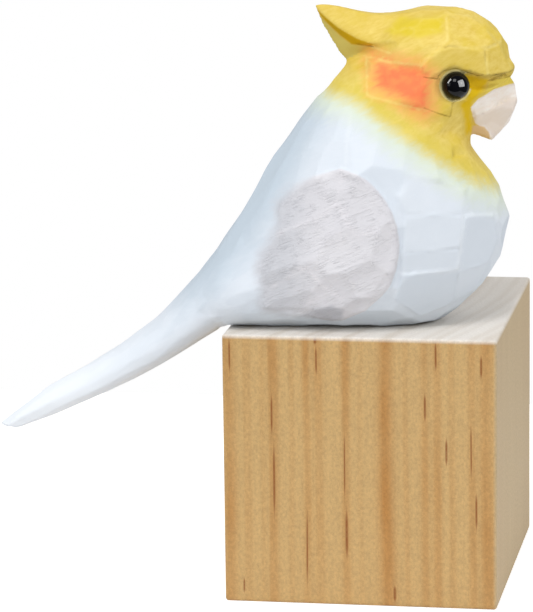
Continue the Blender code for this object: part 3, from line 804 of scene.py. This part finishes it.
# Distance from the eye round its socket, for the painted highlight on the socket's rim
at_lid = np.abs(points[:, 1]) > 9.0
keep_on_points(bird, "lid", np.where(at_lid, np.hypot(x - EYE[0], z - EYE[2]), 9.0))
keep_on_points(bird, "flat_tone", flat_tone)
panel_ridge = (1.0 - ramp(panel_edge, 0.1, 0.55)) * (beak_in < 0.0)
keep_on_points(bird, "ridge", np.maximum(ridges * faceting * (1.0 - panel_share), panel_ridge))

# Thin lines: dark knife cuts, with painted shade in each cut and a painted shadow line under the brow's
# edge, and pale ridges, where the brush left the paint thin and a painted highlight runs along them
LINES = {
    "cuts": (
        ((14.6, 55.8), (17.6, 55.3)), ((14.7, 49.1), (17.4, 47.9), (20.2, 46.8), (20.7, 49.9)),
        ((21.0, 50.0), (23.6, 51.2)),
        ((17.6, 56.0), (18.6, 56.9), (21.2, 57.4), (23.6, 56.5), (26.3, 55.2), (28.3, 55.3), (31.5, 55.4),
         (34.8, 55.8)),
        ((28.9, 53.9), (32.4, 55.1)), ((28.9, 53.9), (34.9, 54.4)), ((0.6, 61.8), (3.6, 61.4)),
    ),
    "pale": (
        ((19.7, 67.4), (19.6, 63.7), (17.8, 61.8), (15.1, 59.9), (13.9, 58.2)),
        ((2.4, 59.1), (14.0, 58.4)), ((2.4, 58.8), (2.3, 52.0)),
        ((2.3, 52.0), (9.0, 50.3), (15.1, 48.6)),
        ((20.2, 62.3), (22.8, 62.0), (27.8, 61.4), (28.3, 55.8)), ((27.8, 61.4), (31.4, 62.0)),
        ((3.6, 61.2), (7.0, 60.6)),
    ),
    "wing_ridges": (
        ((-3.4, 35.4), (-4.4, 30.1), (-6.3, 27.7), (-17.0, 22.4)),
        ((-4.4, 30.1), (-2.2, 24.5), (-0.3, 22.5), (2.7, 23.5), (7.4, 23.2)),
        ((-19.0, 10.4), (-11.1, 15.6), (-7.2, 10.8), (-4.4, 8.6)),
        ((-11.0, 7.2), (-6.4, 9.9), (-3.4, 8.3)),
    ),
    "breast_ridges": (
        ((-1.2, 48.0), (-2.2, 42.0), (-2.5, 38.0)), ((9.3, 14.0), (21.6, 13.6)),
        ((22.9, 26.1), (22.1, 18.7), (21.6, 13.6)), ((22.9, 26.1), (29.6, 25.2)),
    ),
}


def line_gap(lines):
    """Distance to the nearest of the lines up to 1 mm, positive on one side of it, negative on the other."""
    best = np.full(len(points), 1.0)
    for line in lines:
        for a, b in zip(line, line[1:]):
            far = to_segment(a, b)
            on_side = np.where((x - a[0]) * (b[1] - a[1]) - (z - a[1]) * (b[0] - a[0]) > 0.0, 1.0, -1.0)
            best = np.where(far < np.abs(best), far * on_side, best)
    return np.where(flank > 0.25, best, 1.0)


for name, lines in LINES.items():
    gaps = line_gap(lines)
    keep_on_points(bird, name, gaps)
    keep_on_points(bird, name + "_near", np.abs(gaps))

# Thin matt acrylic on wood: brushed, slightly chalky, with the wood's fibres just felt under it.
paint, tree, shader = new_material("matt_acrylic_on_limewood", Roughness=0.7, Specular_IOR_Level=0.15)
place = node(tree, "TexCoord").outputs["Object"]
rise = node(tree, "Mapping", {"Vector": place, "Rotation": (0.0, math.radians(24.0), 0.0)})
brush_place = node(tree, "Mapping", {"Vector": rise, "Scale": (240.0, 600.0, 900.0)})
brush = node(tree, "TexNoise", {"Vector": brush_place, "Scale": 1.0, "Detail": 4.0, "Roughness": 0.65})
cloud = node(tree, "TexNoise", {"Vector": place, "Scale": 150.0, "Detail": 3.0, "Roughness": 0.6})
patch = node(tree, "TexNoise", {"Vector": place, "Scale": 420.0, "Detail": 3.0})


def stored(name):
    """The number kept on the points under a name."""
    return node(tree, "Attribute", attribute_name=name).outputs["Fac"]


def frayed(distance, reach):
    """A distance that the brush noise moves to and fro by up to half the reach."""
    centred = node(tree, "Math", {0: brush, 1: 0.5}, operation="SUBTRACT")
    return node(tree, "Math", {0: centred, 1: reach, 2: distance}, operation="MULTIPLY_ADD")


def mask(source, low, high, fray=None, least=0.0, most=1.0):
    """Least to most as the source goes from low to high. With fray, the source names a stored distance, which
    the brush frays by that much, and the mask's ends are eased."""
    limits = {"From Min": low, "From Max": high, "To Min": least, "To Max": most}
    if fray is None:
        return node(tree, "MapRange", {"Value": source, **limits})
    edge = frayed(stored(source), fray)
    return node(tree, "MapRange", {"Value": edge, **limits}, interpolation_type="SMOOTHSTEP")


def coat(below, colour, *masks):
    """A colour, or the hex value of one, laid over what is below it by the product of its masks."""
    share = masks[0]
    for other in masks[1:]:
        share = node(tree, "Math", {0: share, 1: other}, operation="MULTIPLY", use_clamp=True)
    colour = linear(colour) if isinstance(colour, str) else colour
    return node(tree, "Mix", {0: share, 6: below, 7: colour}, data_type="RGBA").outputs[2]


def marks(name, half):
    """Mask of the thin lines of one kind: the distance with its side gives a crisp line, and the plain
    distance keeps out the places halfway between two lines, where the side changes."""
    sided = node(tree, "Math", {0: stored(name)}, operation="ABSOLUTE")
    plain = node(tree, "Math", {0: stored(name + "_near"), 1: 0.3}, operation="SUBTRACT")
    gap = node(tree, "Math", {0: sided, 1: plain}, operation="MAXIMUM")
    return mask(frayed(gap, 2.0 * half), half, 0.0)


# Tones of the flats: at random where the brush left more or less paint, and on the broad flats painted light
# and shade
flat_tones = stored("flat_tone")
white = coat(linear("dde5ee"), "e8eef6", cloud)
white = coat(white, "d2dbe5", mask(flat_tones, -1.0, 1.0), 0.6)
# Painted light: the white paler towards the end of the tail
white = coat(white, "f3f8fe", mask("tail", 2.0, 34.0, 3.0), 0.9)
# Painted shade: the white made grey along the back and the rump
white = coat(white, "c0ceda", mask("back", 5.0, -2.5, 3.0), 0.85)
# Painted shade: the white darker towards the bottom of the breast and the underside
white = coat(white, "c9d3de", mask("belly_shade", -1.0, 9.0, 3.0), 0.5)
# Painted highlights along the ridges of the breast
white = coat(white, "f0f5fa", marks("breast_ridges", 0.8), 0.3)
tint = coat(white, "dfe9cf", mask("collar", -6.5, 0.8, 3.0), 0.9)
yellow = coat(linear("dfc158"), "f0d87e", mask(brush, 0.3, 0.7))
yellow = coat(yellow, "dfc43a", mask(cloud, 0.48, 0.66, most=0.5))
yellow = coat(yellow, "d6b948", mask(flat_tones, -1.0, 1.0, most=0.5))
yellow = coat(yellow, "dfc725", mask("rich", -0.8, 0.8, 2.0), 0.7)
yellow = coat(yellow, "dfd05a", mask("collar", 7.0, 1.5, 3.0), 0.5)
colour = coat(tint, yellow, mask("collar", -1.8, 2.6, 3.0))
# Pale ridges between the flats: paint left thin there, and a painted highlight along each ridge
thin_paint_and_highlight = mask(patch, 0.4, 0.62, least=0.03, most=0.3)
colour = coat(colour, "efdc84", stored("ridge"), thin_paint_and_highlight, mask("collar", -1.0, 2.0, 2.0))
# Painted shade under the crest and on the neck below it, over paint that is a darker olive there too
colour = coat(colour, "cfbc62", mask("under_crest_shade", -0.3, 0.3, 0.2))
colour = coat(colour, "c39a00", mask("undercut_shade", -0.3, 0.3, 0.2))
# Thick yellow in front of the eye and down the throat, darkened by painted shade under the brow
colour = coat(colour, "e4bd06", mask("lores", -0.6, 0.8, 1.8), 0.95)
colour = coat(colour, "ead25c", mask("wedge", -0.2, 0.3, 0.4), 0.9)
# The cheek: a thin orange glow, then the thicker orange of its middle, both uneven
colour = coat(colour, "f5b063", mask("cheek", -3.0, 1.4, 3.0), mask(patch, 0.3, 0.6, least=0.75, most=0.95))
colour = coat(colour, "fb8456", mask("cheek", 0.0, 3.2, 3.8), mask(patch, 0.3, 0.55, least=0.7))
# Pale lines on the head's ridges: thin paint and a painted highlight
colour = coat(colour, "f2dd88", marks("pale", 0.5), mask(patch, 0.35, 0.6, least=0.1, most=0.6))
# Painted highlight on the rim round the socket
colour = coat(colour, "f4e6a4", mask("lid", 3.75, 3.4, 0.3), 0.8)
# The wing: thicker pearl grey over the white
pearl = coat(linear("dcdbe0"), "e9e8ec", cloud)
pearl = coat(pearl, "c8c7ce", mask(flat_tones, -1.0, 1.0, most=0.5))
pearl = coat(pearl, "c2c5cc", mask("tail", -26.0, -17.0, 3.0), 0.65)
pearl = coat(pearl, "b0b3bc", mask("wing_shade", -0.6, 0.8, 1.2), 0.6)
# Pale lines on the wing's ridges: thin paint and a painted highlight
pearl = coat(pearl, "f1eef3", marks("wing_ridges", 0.9), mask(patch, 0.35, 0.6, least=0.05, most=0.45))
colour = coat(colour, pearl, mask("wing", -0.6, 0.5, 0.9))
horn = coat(linear("f5e9de"), "fcf6f0", mask(brush, 0.35, 0.65))
# The beak's tones are painted light on its upper flat and painted shade on its lower one
horn = coat(horn, "e9dacd", mask(flat_tones, -1.0, 1.0, most=0.75))
colour = coat(colour, horn, mask("beak", -0.25, 0.2, 0.5))
colour = coat(colour, "e2c192", mask("bare", -0.25, 0.2, 0.4))
# The knife cuts painted dark: shade in each cut, and a painted shadow line under the brow's edge
uneven = mask(patch, 0.35, 0.6, least=0.25, most=0.6)
dark_marks = node(tree, "Math", {0: marks("cuts", 0.28), 1: uneven}, operation="MULTIPLY", use_clamp=True)
colour = coat(colour, "7a5600", dark_marks)
tree.links.new(colour, shader["Base Color"])
# On the wings the paint is thick and was dragged with a stiff brush, so its ridges stand up.
drag_place = node(tree, "Mapping", {"Vector": rise, "Scale": (190.0, 900.0, 1900.0)})
drag = node(tree, "TexNoise", {
    "Vector": drag_place, "Scale": 1.0, "Detail": 4.0, "Roughness": 0.62, "Distortion": 0.6,
})
ridge = node(tree, "MapRange", {
    "Value": drag, "From Min": 0.42, "From Max": 0.62,
}, interpolation_type="SMOOTHSTEP")
thick = ridge
for share in (mask("wing", -0.2, 0.6, 0.0), mask(patch, 0.4, 0.6, least=0.1, most=0.5)):
    thick = node(tree, "Math", {0: thick, 1: share}, operation="MULTIPLY", use_clamp=True)
height = node(tree, "Math", {0: brush, 1: 0.3, 2: thick}, operation="MULTIPLY_ADD")
sunk = node(tree, "Math", {0: height, 1: dark_marks}, operation="SUBTRACT")
paint_bump = node(tree, "Bump", {"Strength": 0.7, "Distance": 0.0003, "Height": sunk})
tree.links.new(paint_bump.outputs[0], shader["Normal"])
bird.data.materials.append(paint)
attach(bird, "root")
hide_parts("bird_carving")

# Eyes. Two black glass beads, 6 mm across, pressed into bored sockets. Glass this dark shows only its
# polish: the windows of the room as small bright shapes on black.


def bead(name, centre, radius, rows, columns):
    """A ball as a profile turned about the socket's axis: half circle by latitude, carried round it."""
    latitude, turn = np.linspace(0.0, math.pi, rows), np.linspace(0.0, 2.0 * math.pi, columns, endpoint=False)
    up, turn = np.meshgrid(latitude, turn, indexing="ij")
    ball = np.stack([np.sin(up) * np.cos(turn), -np.cos(up), np.sin(up) * np.sin(turn)], -1) * radius + centre
    made = mesh_object(name, to_row(ball.reshape(-1, 3)), grid_faces(rows, columns, around=True))
    merge(made, distance=1e-7)
    return made


glass, tree, shader = new_material(
    "black_bead_glass", Base_Color=linear("020203"), IOR=1.5, Specular_IOR_Level=0.18,
)
place = node(tree, "TexCoord").outputs["Object"]
haze = node(tree, "TexNoise", {"Vector": place, "Scale": 900.0, "Detail": 2.0})
polish = node(tree, "MapRange", {"Value": haze, "To Min": 0.02, "To Max": 0.08})
tree.links.new(polish.outputs[0], shader["Roughness"])
beads = bpy.data.collections.new("beads")
for hand, label in ((-1.0, "right"), (1.0, "left")):
    eye = bead("bead_eye_" + label, EYE * np.array([1.0, hand, 1.0]), EYE_DIAMETER / 2.0, rows=49, columns=72)
    eye.data.materials.append(glass)
    beads.objects.link(eye)
    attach(eye, "root")
    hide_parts("eye_" + label)

# Floor, lamps and camera. A white paper sheet lies under the block. A lamp hangs above and in front, and
# two dimmer ones stand at the sides. The long lens stands as far back as the photograph's did.

sheet_corners = np.array([(-0.16, -0.14, 0.0), (0.16, -0.14, 0.0), (0.16, 0.16, 0.0), (-0.16, 0.16, 0.0)])
floor = mesh_object("white_sheet", sheet_corners, np.array([(0, 1, 2, 3)]), smooth=False)
sheet, tree, shader = new_material(
    "white_paper_sheet", Base_Color=linear("f4f4f4"), Roughness=0.9, Specular_IOR_Level=0.1,
    Emission_Color=linear("ffffff"),
)
path = node(tree, "LightPath").outputs
seen = node(tree, "Math", {0: path["Is Camera Ray"], 1: path["Is Transmission Ray"]}, operation="MAXIMUM")
seen = node(tree, "Math", {0: seen, 1: path["Is Glossy Ray"]}, operation="MAXIMUM")
lift = node(tree, "Math", {0: seen, 1: 0.55}, operation="MULTIPLY")
tree.links.new(lift.outputs[0], shader["Emission Strength"])
floor.data.materials.append(sheet)

world = bpy.data.worlds.new("studio")
scene.world = world
world.use_nodes = True
tree = world.node_tree
background = tree.nodes["Background"]
path = node(tree, "LightPath").outputs
seen = node(tree, "Math", {0: path["Is Camera Ray"], 1: path["Is Transmission Ray"]}, operation="MAXIMUM")
# A polished piece mirrors the white backdrop behind it, and the dim room in front of it.
ahead = node(tree, "SeparateXYZ", {0: node(tree, "TexCoord").outputs["Generated"]})
behind = node(tree, "MapRange", {
    "Value": ahead.outputs["Y"], "From Min": 0.35, "From Max": 0.85, "To Min": 0.12, "To Max": 1.0,
})
mirrored = node(tree, "Mix", {0: path["Is Glossy Ray"], 2: 0.62, 3: behind})
brightness = node(tree, "Mix", {0: seen, 2: mirrored, 3: 1.0})
background.inputs["Color"].default_value = linear("ffffff")
tree.links.new(brightness.outputs[0], background.inputs["Strength"])


def lamp(name, place, towards, size, power, only=None):
    """A square studio lamp at a place, facing a point, on all pieces or on those of one collection only."""
    data = bpy.data.lights.new(name, "AREA")
    data.size = size
    data.energy = power
    made = bpy.data.objects.new(name, data)
    scene.collection.objects.link(made)
    made.location = place
    made.rotation_euler = (Vector(towards) - Vector(place)).to_track_quat("-Z", "Y").to_euler()
    if only:
        made.light_linking.receiver_collection = only


HEAD_PLACE = (0.02, -0.02, 0.112)
TAIL_PLACE = (-0.05, -0.03, 0.07)
NEAR_EYE = (0.020, -0.024, 0.114)
lamp("lamp_above", (-0.048, -0.41, 0.64), HEAD_PLACE, size=0.26, power=1.85)
lamp("lamp_left", (-0.45, -0.35, 0.25), TAIL_PLACE, size=0.25, power=0.42)
lamp("lamp_right", (0.41, -0.25, 0.32), HEAD_PLACE, size=0.12, power=0.42)
# The windows of the room are far dimmer than the lamps on wood, and show only in the polish of the beads.
lamp("window_left", (-0.372, -0.099, 0.414), NEAR_EYE, size=0.32, power=10.0, only=beads)
lamp("window_right", (0.414, -0.263, 0.308), NEAR_EYE, size=0.48, power=19.0, only=beads)

# The camera's place in metres, its turn in degrees, and its focal length in the photograph's pixels
CAMERA_PLACE = (0.121884, -0.859516, 0.241975)
YAW, PITCH, ROLL = (math.radians(v) for v in (-9.764, 11.842, -0.711))
LENS_PIXELS = 3952.1
FRAME_HEIGHT = 612
forward = np.array([math.sin(YAW) * math.cos(PITCH), math.cos(YAW) * math.cos(PITCH), -math.sin(PITCH)])
level = np.array([math.cos(YAW), -math.sin(YAW), 0.0])
upward = np.cross(level, forward)
right = level * math.cos(ROLL) + upward * math.sin(ROLL)
upward = -level * math.sin(ROLL) + upward * math.cos(ROLL)
camera_data = bpy.data.cameras.new("camera")
camera_data.sensor_width = 36.0
camera_data.lens = LENS_PIXELS / FRAME_HEIGHT * camera_data.sensor_width
camera_data.clip_start = 0.05
camera = bpy.data.objects.new("camera", camera_data)
scene.collection.objects.link(camera)
turn = np.eye(4)
turn[:3, 0], turn[:3, 1], turn[:3, 2], turn[:3, 3] = right, upward, -forward, CAMERA_PLACE
camera.matrix_world = Matrix(turn.tolist())
scene.camera = camera
scene.view_settings.view_transform = "Standard"
